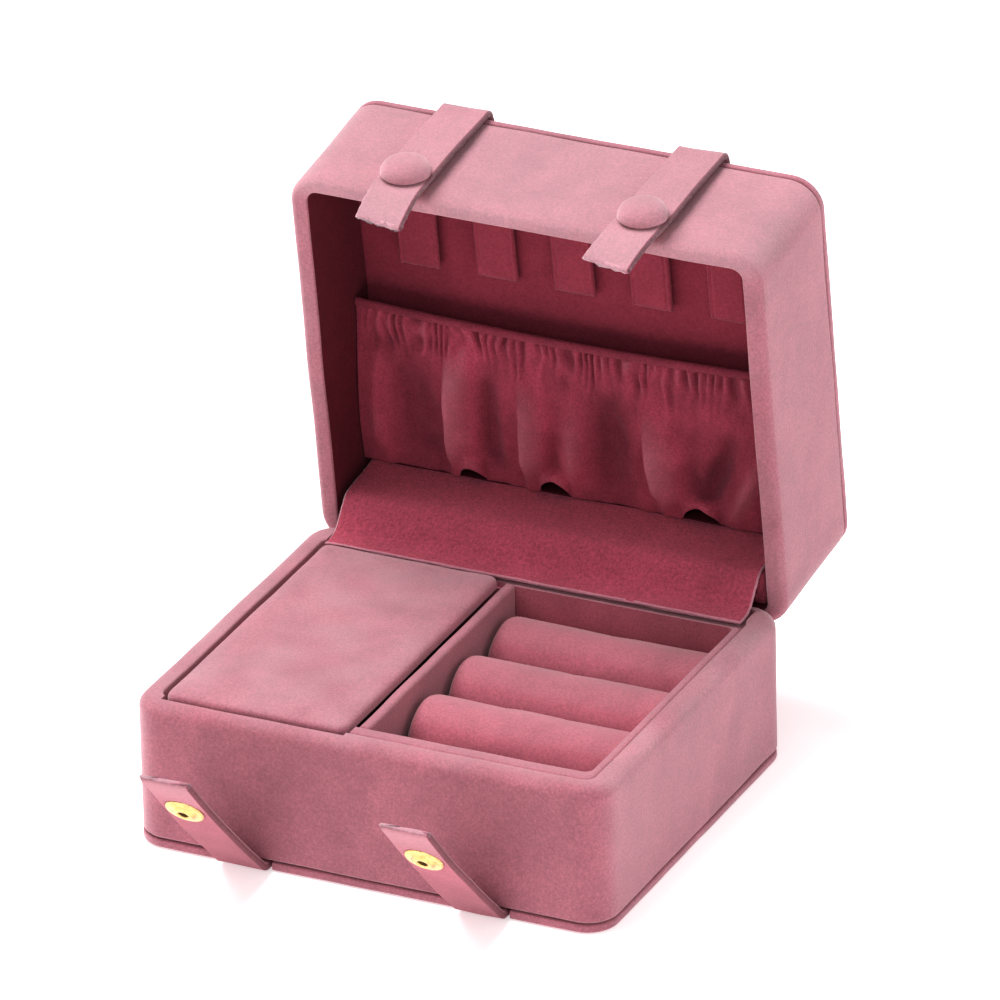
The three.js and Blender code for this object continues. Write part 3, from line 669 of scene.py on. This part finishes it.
def band(name, path, x0, x1, thick, material, lid=False, step=0.7 * MM, columns=30, seed=1.0,
         groove=0.0, ragged=0.0, waves=0.0, slant=0.0, skew=0.0, skew_from=0.0, edge=None, scuff_and_light_ends=None):
    """Strip of cloth or strap: path is (y, z) points, with a rounded edge each side. groove presses a
    seam in near both edges, ragged roughens the cut ends and waves make the whole strip uneven.
    slant cuts the far end askew and skew pushes it sideways over its last part, from skew_from on.
    edge is the material of the cut ends and sides. The last argument is how much paler or darker the
    strip is painted at its start and at its far end; its right edge then gets a painted shadow, and only
    its ends have the edge material."""
    stations, _ = spaced([(0, y, z) for y, z in path], step)
    half, width = thick / 2, x1 - x0
    soft = min(half, 0.45 * MM)
    xs = [x0 + soft + (width - 2 * soft) * k / columns for k in range(columns + 1)]
    last = len(stations) - 1
    rings = []
    ring_size = 2 * columns + 4
    for i, (p, t) in enumerate(stations):
        across = Vector((0, -t.z, t.y))
        near_end = min(i, last - i)
        aside = skew * ease(skew_from, 1.4, i / last)
        along = slant * ease(0.75, 1.0, i / last)
        flat = (0.55, 0.85)[near_end] if near_end < 2 else 1.0
        ring = []
        for side in (1, -1):
            order = xs if side == 1 else list(reversed(xs))
            for x in order:
                from_edge = min(x - x0, x1 - x)
                press = groove * math.exp(-(((from_edge - 1.1 * MM) / (0.28 * MM)) ** 2))
                lift = waves * noise.noise(Vector((x / (9 * MM), i * step / (11 * MM), seed)))
                h = side * (half * flat - press) + lift
                push = 0.0
                if near_end == 0:
                    push = ragged * noise.noise(Vector((x / (0.7 * MM), side * 0.5, seed)))
                push += along * (x - (x0 + x1) / 2) / (width / 2)
                ring.append(Vector((x + aside, p.y, p.z)) + across * h + t * push)
            x_edge = x1 if side == 1 else x0
            rough = ragged * 0.5 * noise.noise(Vector((side * 3, i * step / (0.8 * MM), seed)))
            ring.append(Vector((x_edge + rough + aside, p.y, p.z)) + across * lift + t * (along * side))
        rings.append(ring)
    verts, faces = skin(rings)
    obj = piece(name, verts, faces, material, lid=lid)
    if scuff_and_light_ends:
        values = []
        for vertex in obj.data.vertices:
            i, k = divmod(vertex.index, ring_size)
            along = scuff_and_light_ends[0] + (scuff_and_light_ends[1] - scuff_and_light_ends[0]) * ease(0.45, 1.0, i / last)
            # a painted shadow along the strip's right edge; elsewhere the painted tone runs from the
            # start value to the end value
            values.append(-1.0 if columns <= k <= columns + 2 else along)
        paint_scuff_and_light(obj, values)
    if edge:
        obj.data.materials.append(edge)
        back = CLOSED if lid else Matrix.Identity(4)
        tips = [Vector((0, *path[0])), Vector((0, *path[-1]))]
        for face in obj.data.polygons:
            c = back @ face.center
            at_side = not scuff_and_light_ends and face.index % (columns + 2) >= columns
            at_tip = min((Vector((0, c.y, c.z)) - tip).length for tip in tips) < 0.5 * MM
            face.material_index = int(at_side or at_tip)
    return obj


# ---- stuffed pieces ----
SIM_SCALE = 12.0  # a small pad is simulated this much larger
SIM_FRAMES = 20
SIM_PRESSURE = 4.0


def puffed(obj, voxel, cap, shrink):
    """Cloth simulation of a stuffed piece under its own pressure, applied to its mesh. It starts
    smaller by shrink, and no point moves further than cap."""
    rest = obj.data.copy()
    bm = bmesh.new()
    bm.from_mesh(rest)
    bm.normal_update()
    for v in bm.verts:
        v.co -= v.normal * shrink
    bm.to_mesh(rest)
    bm.free()
    rest.transform(Matrix.Scale(SIM_SCALE, 4))
    work = bpy.data.objects.new("work", rest)
    bpy.context.scene.collection.objects.link(work)
    remesh = work.modifiers.new("remesh", "REMESH")
    remesh.mode, remesh.voxel_size = "VOXEL", voxel * SIM_SCALE
    apply_modifiers(work)
    before = np.array([v.co for v in work.data.vertices])
    cloth = work.modifiers.new("cloth", "CLOTH")
    cloth.settings.quality = 4
    cloth.settings.use_pressure = True
    cloth.settings.uniform_pressure_force = SIM_PRESSURE
    cloth.settings.tension_stiffness = 12
    cloth.settings.bending_stiffness = 1.5
    cloth.settings.effector_weights.gravity = 0
    scene = bpy.context.scene
    scene.frame_start, scene.frame_end = 1, SIM_FRAMES
    cloth.point_cache.frame_start, cloth.point_cache.frame_end = 1, SIM_FRAMES
    for frame_number in range(1, SIM_FRAMES + 1):
        scene.frame_set(frame_number)
    apply_modifiers(work)
    after = np.array([v.co for v in work.data.vertices])
    move = (after - before) / SIM_SCALE
    size = np.linalg.norm(move, axis=1)
    move *= (cap * np.tanh(size / cap) / np.maximum(size, 1e-12))[:, None]
    work.data.vertices.foreach_set("co", (before / SIM_SCALE + move).astype(np.float32).ravel())
    work.data.update()
    scene.frame_set(1)
    smooth = work.modifiers.new("smooth", "SMOOTH")
    smooth.factor, smooth.iterations = 0.5, 2
    subdivide = work.modifiers.new("subdivide", "SUBSURF")
    subdivide.levels = subdivide.render_levels = 1
    apply_modifiers(work)
    mesh = work.data
    bpy.data.objects.remove(work)
    mesh.materials.clear()
    for material in obj.data.materials:
        mesh.materials.append(material)
    mesh.polygons.foreach_set("use_smooth", [True] * len(mesh.polygons))
    mesh.polygons.foreach_set("material_index", [0] * len(mesh.polygons))
    obj.data = mesh


# ---- strips and sheets ----
def closed_point(y, z, x=0.0):
    """A point given with the lid closed, where it is with the lid open."""
    return OPENED @ Vector((x, y, z))


def build_hinge_lining():
    """One sheet from the base's back rim, over the hinge gap and across the lid's back pad."""
    lo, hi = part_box("back_lining")
    pad, pad_low, _ = node_plan("lid_back_pad", 1.0 * MM, closed=True)
    seam = node_plan("pocket_base", 1.0 * MM, closed=True)[1]
    heights = (pad_low + 0.6 * MM, pad_low + 5 * MM, seam + 1.2 * MM)
    on_pad = [closed_point(pad.y0 - 0.45 * MM, z) for z in heights]
    top = hi.z - 0.05 * MM
    path = [
        (lo.y + 0.4 * MM, top),
        (lo.y + 3.2 * MM, top),
        (lo.y + 5.6 * MM, top + 0.9 * MM),
        (lo.y + 7.6 * MM, top + 3.4 * MM),
        (on_pad[0].y - 1.2 * MM, on_pad[0].z - 0.9 * MM),
    ] + [(p.y, p.z) for p in on_pad]
    path = smooth_path(path, 3)
    length = spaced([(0, y, z) for y, z in path], MM)[1]
    obj = band("hinge_lining", path, lo.x, hi.x, 0.75 * MM, PLUSH, step=0.55 * MM,
               ragged=0.35 * MM, edge=SUEDE_LIGHT, waves=0.25 * MM, seed=7.0, columns=150)
    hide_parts("back_lining", "hinge_cloth")
    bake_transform(obj)


# ---- the gathered pocket, in closed-lid places ----
# fold: x, slant, height, width to its left and to its right, all in mm, and how far down it starts
FOLDS = [
    (-44.0, 0.0, 0.9, 2.0, 3.0, 0.1),
    (-36.0, 9.0, -1.6, 5.0, 6.0, 0.1),
    (-27.4, 0.4, 3.0, 0.9, 4.6, 0.06),
    (-18.3, 1.0, -1.7, 2.6, 2.4, 0.15),
    (-10.6, 1.2, 2.7, 0.9, 4.2, 0.16),
    (-4.0, -2.0, -1.0, 1.6, 1.6, 0.3),
    (0.2, 0.8, 1.8, 1.8, 2.8, 0.22),
    (8.6, 0.5, -2.2, 3.6, 4.2, 0.15),
    (17.6, 5.5, 3.0, 1.0, 5.0, 0.2),
    (27.0, 1.0, -1.2, 2.0, 2.4, 0.35),
    (35.0, -15.0, -2.8, 2.2, 2.4, 0.3),
    (42.5, -15.0, 2.0, 1.6, 3.4, 0.3),
]
PUCKERS = [(-23.2, 3.0, 3.3), (-4.6, 3.4, 4.0), (28.2, 4.0, 3.8)]  # x, half width, lift, in mm
SAG = 1.3 * MM  # how far the middle of the elastic hangs down
PLEAT = 2.25 * MM  # pitch of the small gathers under the elastic
BELLY = 0.9 * MM  # how far the middle of the pocket stands out
POCKET_THICK = 0.7 * MM


def elastic_sag(x):
    """How far the elastic hangs down at x."""
    return SAG * (1 - (x / (48 * MM)) ** 2)


def pocket_level(v, z_top, z_end):
    """Height of the pocket cloth without its gathers and folds."""
    return z_top - (z_top - z_end) * ease(0, 0.85, v) - BELLY * math.sin(math.pi * v)


def pocket_point(x, v, y0, y1, z_top, z_end):
    """Front of the pocket cloth: v is 0 at the elastic and 1 at the bottom seam."""
    half_width = 48.1 * MM
    loose = ease(0, 5 * MM, half_width - abs(x))
    down = v * (y1 - y0)
    phase = 2 * math.pi * (x / PLEAT + 1.1 * noise.noise(Vector((x / (6 * MM), 0.3, 2.0))))
    phase += 3.4 * noise.noise(Vector((x / (6 * MM), down / (5 * MM), 9.0)))
    uneven = 0.75 + 0.9 * noise.noise(Vector((x / (2.7 * MM), down / (4 * MM), 4.0)))
    reach = (6.4 + 7.0 * noise.noise(Vector((x / (3.4 * MM), 5.0, 1.0)))) * MM
    gather = 0.75 * MM * uneven * math.cos(phase) * ease(0, 0.9 * MM, down + 0.35 * MM)
    gather *= math.exp(-((down / max(reach, 1.5 * MM)) ** 2))
    fold = 0.0
    sewn = 1 - 0.84 * ease(0.74, 1.0, v)
    for fx, slant, height, left, right, start in FOLDS:
        off = x - (fx + slant * (v - 0.5)) * MM
        width = (left if off < 0 else right) * MM
        fold += 1.2 * sewn * height * MM * math.exp(-((off / width) ** 2)) * ease(start, start + 0.42, v)
    crumple = 0.45 * MM * noise.noise(Vector((x / (7 * MM), down / (9 * MM), 3.0))) * ease(0.1, 0.4, v)
    crumple += 0.42 * MM * noise.noise(Vector((x / (2.9 * MM), down / (4.5 * MM), 6.0)))
    y = y0 + down + elastic_sag(x) * (1 - v)
    lift = 0.0
    for px, half, rise in PUCKERS:
        near = max(0.0, 1 - ((x / MM - px) / half) ** 2) ** 0.6
        lift += near * rise * MM * ease(0.8, 1.0, v)
    y -= lift
    z = pocket_level(v, z_top, z_end) - (gather + fold + crumple + 0.55 * lift) * loose
    return Vector((x, y, z))


def build_pocket():
    plan, z0, _ = node_plan("pocket_front", 1.0 * MM, closed=True)
    el_plan, e0, e1 = node_plan("pocket_elastic", 0.5 * MM, closed=True)
    nx, nv = 420, 70
    xs = [plan.x0 + (plan.x1 - plan.x0) * i / nx for i in range(nx + 1)]
    y0, y1 = el_plan.y1 - 0.2 * MM, plan.y1 + 0.15 * MM
    z_top, z_end = e0 + 0.45 * MM, z0 + 2.1 * MM
    rings = []
    for x in xs:
        front = [pocket_point(x, k / nv, y0, y1, z_top, z_end) for k in range(nv + 1)]
        ring = list(front)
        ring.append(front[-1] + Vector((0, 0.25 * MM, POCKET_THICK / 2)))
        ring += [p + Vector((0, 0, POCKET_THICK)) for p in reversed(front)]
        rings.append(ring)
    verts, faces = skin(rings)
    pocket = piece("pocket_cloth", verts, faces, POCKET, lid=True)
    # painted shade in the valleys of the folds and a painted highlight along their crests
    fold_light_and_shade = []
    for vertex in pocket.data.vertices:
        at = CLOSED @ vertex.co
        v = min(1.0, max(0.0, (at.y - y0 - elastic_sag(at.x)) / (y1 - y0)))
        span = (1.5 + 2.6 * ease(0.1, 0.5, v)) * MM
        height = 1.5 * (pocket_level(v, z_top, z_end) - at.z) / span - 0.25
        fold_light_and_shade.append(max(-0.8, height) if height < 0 else 0.2 * min(1.2, height))
    paint_scuff_and_light(pocket, fold_light_and_shade)
    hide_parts("pocket_front")
    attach(pocket, "lid")

    build_casing(el_plan, (e0 + e1) / 2, nx)
    base_plan, b0, b1 = node_plan("pocket_base", 0.3 * MM, closed=True)
    # the pocket's base is painted near-black, as painted shade in the pocket's openings
    seam = wrapped_board("pocket_seam", base_plan, b0, b1, (0.2 * MM, 0.2 * MM), SEAM_SHADE,
                         lid=True)
    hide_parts("pocket_base")
    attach(seam, "lid")


def build_casing(plan, cz, count):
    """The ruffled tube that holds the pocket's elastic."""
    turns = 16
    rings = []
    for i in range(count + 1):
        x = plan.x0 + (plan.x1 - plan.x0) * i / count
        cy = (plan.y0 + plan.y1) / 2 + elastic_sag(x)
        ruffle = 1 + 0.10 * noise.noise(Vector((x / (1.3 * MM), 0, 4.0)))
        ry, rz = 0.95 * MM * ruffle, 0.72 * MM * ruffle
        ring = []
        for k in range(turns):
            a = 2 * math.pi * k / turns
            ring.append((x, cy + ry * math.cos(a), cz + rz * math.sin(a)))
        rings.append(ring)
    verts, faces = skin(rings)
    casing = piece("pocket_casing", verts, faces, POCKET, lid=True)
    # painted shade over the whole casing
    paint_scuff_and_light(casing, [-0.55] * len(verts))
    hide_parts("pocket_elastic")
    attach(casing, "lid")


def build_tabs():
    plan, z0, z1 = node_plan("tab_header", 0.5 * MM, closed=True)
    header = wrapped_board("tab_header_wrap", plan, z0, z1, (0.4 * MM, 0.3 * MM), TAB, lid=True)
    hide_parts("tab_header")
    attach(header, "lid")
    for i in range(1, 6):
        plan, z0, z1 = node_plan(f"necklace_tab_{i}", 0.5 * MM, closed=True)
        middle = (z0 + z1) / 2
        curl = 0.25 * MM * math.sin(2.1 * i)
        path = [
            (plan.y0 + (plan.y1 - plan.y0) * t, middle - curl * t * t - 0.15 * MM * math.sin(math.pi * t))
            for t in np.linspace(0, 1, 16)
        ]
        tab = band(f"tab_cloth_{i}", path, plan.x0, plan.x1, z1 - z0, TAB, lid=True,
                   groove=0.22 * MM, ragged=0.2 * MM, waves=0.12 * MM, seed=float(i), columns=44)
        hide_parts(f"necklace_tab_{i}")
        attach(tab, f"necklace_tab_{i}")


# ---- straps and flaps ----
STRAP_THICK = 1.3 * MM
STRAP_LEAN = math.radians(2.5)  # away from the lid's wall
STRAP_SKEW = {"left": 2.6 * MM, "right": -3.2 * MM}  # which way each strap's tip has curled
FLAP_THICK = 1.5 * MM
FLAP_LEAN = math.radians(44)  # out from the base's front wall


def build_straps():
    """A strap runs from the lid's top board, over its edge and down past the button."""
    thick = STRAP_THICK
    lean = math.tan(STRAP_LEAN)
    for side in ("left", "right"):
        body = f"lid_strap_{side}"
        plan, low, _ = node_plan(body, 0.5 * MM, closed=True)
        hook, _, hook_high = node_plan(f"strap_mount_{side}", 0.5 * MM, closed=True)
        _, b0, b1 = node_plan(f"snap_button_{side}", MM, closed=True)
        pivot = CLOSED @ Vector(joint(f"{body}_bend")["pos_m"])
        level = hook_high - thick / 2
        snap = (b0 + b1) / 2
        path = [(hook.y1, level), (-38 * MM, level), (pivot.y + 1.9 * MM, level)]
        path += [(pivot.y + 0.5 * MM, level - 0.15 * MM), (pivot.y - 0.15 * MM, level - 1.0 * MM)]
        path += [(pivot.y - 0.15 * MM, pivot.z - 1.0 * MM)]
        fall = snap - 2.5 * MM
        for z in np.linspace(pivot.z - 4 * MM, low, 22):
            droop = 2.0 * MM * max(0.0, (fall - z) / (fall - low)) ** 2
            hump = 0.35 * MM * math.sin(math.pi * min(1.0, (pivot.z - z) / (pivot.z - snap)))
            path.append((pivot.y - (pivot.z - z) * lean - hump + droop, z))
        path = smooth_path(path, 2)
        strap = band(f"strap_{side}", path, plan.x0, plan.x1, thick, SUEDE, lid=True,
                     seed=3.0 + plan.x0 * 100, ragged=0.7 * MM, waves=0.22 * MM, slant=0.9 * MM,
                     # painted light along the strap, paler still at its tip, and a painted shadow down
                     # its right edge
                     skew=STRAP_SKEW[side], skew_from=0.7, edge=SUEDE_LIGHT, scuff_and_light_ends=(0.26, 0.42))
        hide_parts(body, f"strap_mount_{side}")
        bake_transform(strap)

        y_face = pivot.y - (pivot.z - snap) * lean - thick / 2 - 0.1 * MM
        centre = Matrix.Translation(((plan.x0 + plan.x1) / 2, y_face, snap))
        place = OPENED @ centre @ Matrix.Rotation(math.pi / 2 - STRAP_LEAN, 4, "X")
        cap = covered_button(f"covered_button_{side}", place)
        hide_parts(f"snap_button_{side}")
        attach(cap, body)


def covered_button(name, place):
    """A dome of suede over the snap's head."""
    radius, height = 5.3 * MM, 3.9 * MM
    foot, brim = 0.1 * MM, 0.75 * MM
    profile = [(0.0, foot), (radius * 0.86, foot), (radius * 0.97, 0.45 * MM)]
    for a in np.linspace(0, math.pi / 2, 16):
        profile.append((radius * math.cos(a) ** 0.8, brim + (height - brim) * math.sin(a)))
    profile[-1] = (0.0, height)
    cap = lathe(name, profile, 72, place, SUEDE, wobble_depth=0.22 * MM)
    # painted light: the button is painted a little paler all over
    paint_scuff_and_light(cap, [0.3] * len(cap.data.vertices))
    return cap


def build_flaps():
    """A flap comes out of its notch under the box, turns up and leans out in front."""
    way = Vector((0, -math.sin(FLAP_LEAN), math.cos(FLAP_LEAN)))
    out = Vector((0, -math.cos(FLAP_LEAN), -math.sin(FLAP_LEAN)))
    for side in ("left", "right"):
        body = f"base_flap_{side}"
        lo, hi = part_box(body)
        root_lo, root_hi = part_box(f"flap_anchor_{side}")
        pivot = Vector(joint(f"{body}_bend")["pos_m"])
        length = (hi.z - FLAP_THICK / 2 * math.sin(FLAP_LEAN) - pivot.z) / math.cos(FLAP_LEAN)
        z_root = (root_lo.z + root_hi.z) / 2
        path = [(root_hi.y, z_root), (root_lo.y + 3 * MM, z_root), (pivot.y + 0.9 * MM, z_root)]
        path.append((pivot.y - 0.3 * MM, pivot.z + 0.25 * MM))
        for s in np.linspace(0.05, 1, 24):
            bow = 0.55 * MM * math.sin(math.pi * s) + 0.5 * MM * max(0.0, s - 0.8) ** 1.5
            p = pivot + way * (length * s) + out * bow
            path.append((p.y, p.z))
        path = smooth_path(path, 2)
        flap = band(f"flap_{side}", path, lo.x, hi.x, FLAP_THICK, SUEDE_SHADED,
                    seed=5.0 + lo.x * 100, ragged=0.4 * MM, waves=0.2 * MM, edge=SUEDE_LIGHT,
                    # painted shade at the flap's foot, going over to painted light at its tip
                    scuff_and_light_ends=(-0.4, 0.35))
        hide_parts(body, f"flap_anchor_{side}")
        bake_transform(flap)

        s_lo, s_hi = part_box(f"snap_socket_{side}")
        centre = (s_lo + s_hi) / 2
        along = (centre - pivot).dot(way)
        face = pivot + way * along + out * (FLAP_THICK / 2 + 0.55 * MM)
        face.x = centre.x
        turned = out.to_track_quat("Z", "Y").to_matrix().to_4x4()
        tilt = Matrix.Rotation(math.radians(-7), 4, "X")
        place = Matrix.Translation(face) @ tilt @ turned
        socket = snap_socket(f"socket_{side}", (s_hi.x - s_lo.x) / 2, place)
        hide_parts(f"snap_socket_{side}")
        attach(socket, body)


def snap_socket(name, r, place):
    """A brass ring with a rolled rim and a raised collar round its hole, whose inside is painted shade.
    """
    profile = [(0.0, 0.0), (r - 0.3 * MM, 0.0), (r - 0.05 * MM, 0.1 * MM), (r, 0.28 * MM)]
    profile += [(r - 0.12 * MM, 0.42 * MM), (r - 0.5 * MM, 0.46 * MM), (0.62 * r, 0.5 * MM)]
    for t in np.linspace(0.1, 1, 6):
        profile.append((0.62 * r - 0.24 * r * t, 0.5 * MM + 0.75 * MM * math.sin(math.pi / 2 * t)))
    profile += [(0.30 * r, 1.2 * MM), (0.26 * r, 1.0 * MM), (0.25 * r, 0.45 * MM), (0.0, 0.42 * MM)]
    return lathe(name, profile, 64, place, BRASS, inner=SOCKET_HOLE_SHADE, inner_from=0.27 * r)


def build_outer_hinge():
    """Outside tape over the hinge, glued to the back of the base and of the lid."""
    lo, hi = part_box("spine_base")
    plan, z0, z1 = node_plan("spine_lid", MM, closed=True)
    y = (lo.y + hi.y) / 2
    lid_line = [closed_point((plan.y0 + plan.y1) / 2, z) for z in (z0, z0 + 2 * MM, z1)]
    path = [(y, lo.z), (y, hi.z - 1.5 * MM), (y + 0.05 * MM, hi.z - 0.1 * MM)]
    path += [(p.y, p.z) for p in lid_line]
    path = smooth_path(path, 2)
    tape = band("outer_hinge_tape", path, lo.x, hi.x, 0.55 * MM, SUEDE, step=0.6 * MM,
                ragged=0.2 * MM, waves=0.05 * MM, seed=12.0, columns=110)
    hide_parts("spine_base", "spine_lid")
    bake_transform(tape)


build_base()
build_bottom()
build_tray()
build_divider()
build_compartment_pad()
build_rolls()
build_cover()
build_lid()
build_lid_back_pad()
build_hinge_lining()
build_pocket()
build_tabs()
build_straps()
build_flaps()
build_outer_hinge()


# ---- setting ----
def build_floor():
    """A pale floor that glows a little, so that shadows on it stay faint."""
    bpy.ops.mesh.primitive_plane_add(size=12, location=(0, 0, -0.2 * MM))
    floor = bpy.context.object
    floor.name = "floor"
    mat, _, _, shader = nodes_of("pale_floor")
    shader.inputs["Base Color"].default_value = (0.93, 0.93, 0.93, 1)
    shader.inputs["Roughness"].default_value = 0.9
    shader.inputs["Emission Color"].default_value = (1, 1, 1, 1)
    shader.inputs["Emission Strength"].default_value = 0.50
    floor.data.materials.append(mat)


def light_studio():
    """White surroundings, a key light from the left and above, and two weak fills."""
    world = bpy.data.worlds.new("studio")
    world.use_nodes = True
    world.node_tree.nodes["Background"].inputs["Color"].default_value = (1, 1, 1, 1)
    world.node_tree.nodes["Background"].inputs["Strength"].default_value = 0.42
    bpy.context.scene.world = world
    aim = Vector((0, 0, 0.05))
    lights = {
        "key": ((-0.8, 0.10, 1.88), 1.5, 56.0),
        "right": ((1.8, 0.2, 0.7), 1.2, 6.0),
        "front": ((0.5, -1.9, 1.2), 1.0, 7.6),
    }
    for name, (at, size, watts) in lights.items():  # place in metres, side, power
        light = bpy.data.lights.new(name, "AREA")
        light.size, light.energy = size, watts
        obj = bpy.data.objects.new(name, light)
        bpy.context.scene.collection.objects.link(obj)
        obj.location = at
        obj.rotation_euler = (aim - Vector(at)).to_track_quat("-Z", "Y").to_euler()


def build_camera():
    cam = bpy.data.cameras.new("camera")
    cam.lens = CAM_LENS
    cam.clip_end = 50
    obj = bpy.data.objects.new("camera", cam)
    bpy.context.scene.collection.objects.link(obj)
    turn = (
        Matrix.Rotation(math.radians(CAM_AZIMUTH), 4, "Z")
        @ Matrix.Rotation(math.radians(90 - CAM_ELEVATION), 4, "X")
    )
    back = turn.to_3x3() @ Vector((0, 0, 1))
    obj.matrix_world = (
        Matrix.Translation(CAM_TARGET + back * CAM_DISTANCE)
        @ turn
        @ Matrix.Rotation(math.radians(CAM_ROLL), 4, "Z")
    )
    bpy.context.scene.camera = obj


build_floor()
light_studio()
build_camera()
bpy.context.scene.view_settings.view_transform = "Standard"
bpy.context.scene.view_settings.gamma = 0.87

# ---- materials of the solids that no piece replaces ----
BRASS_NODES = ("snap_stud", "snap_socket", "snap_rivet", "tab_snap")
PLAIN_NODES = {"tray_floor": BOARD, "lid_filler": FOAM}
for node, obj in frame["nodes"].items():
    look = PLAIN_NODES.get(node, BRASS if node.startswith(BRASS_NODES) else SUEDE)
    obj.data.materials.clear()
    obj.data.materials.append(look)
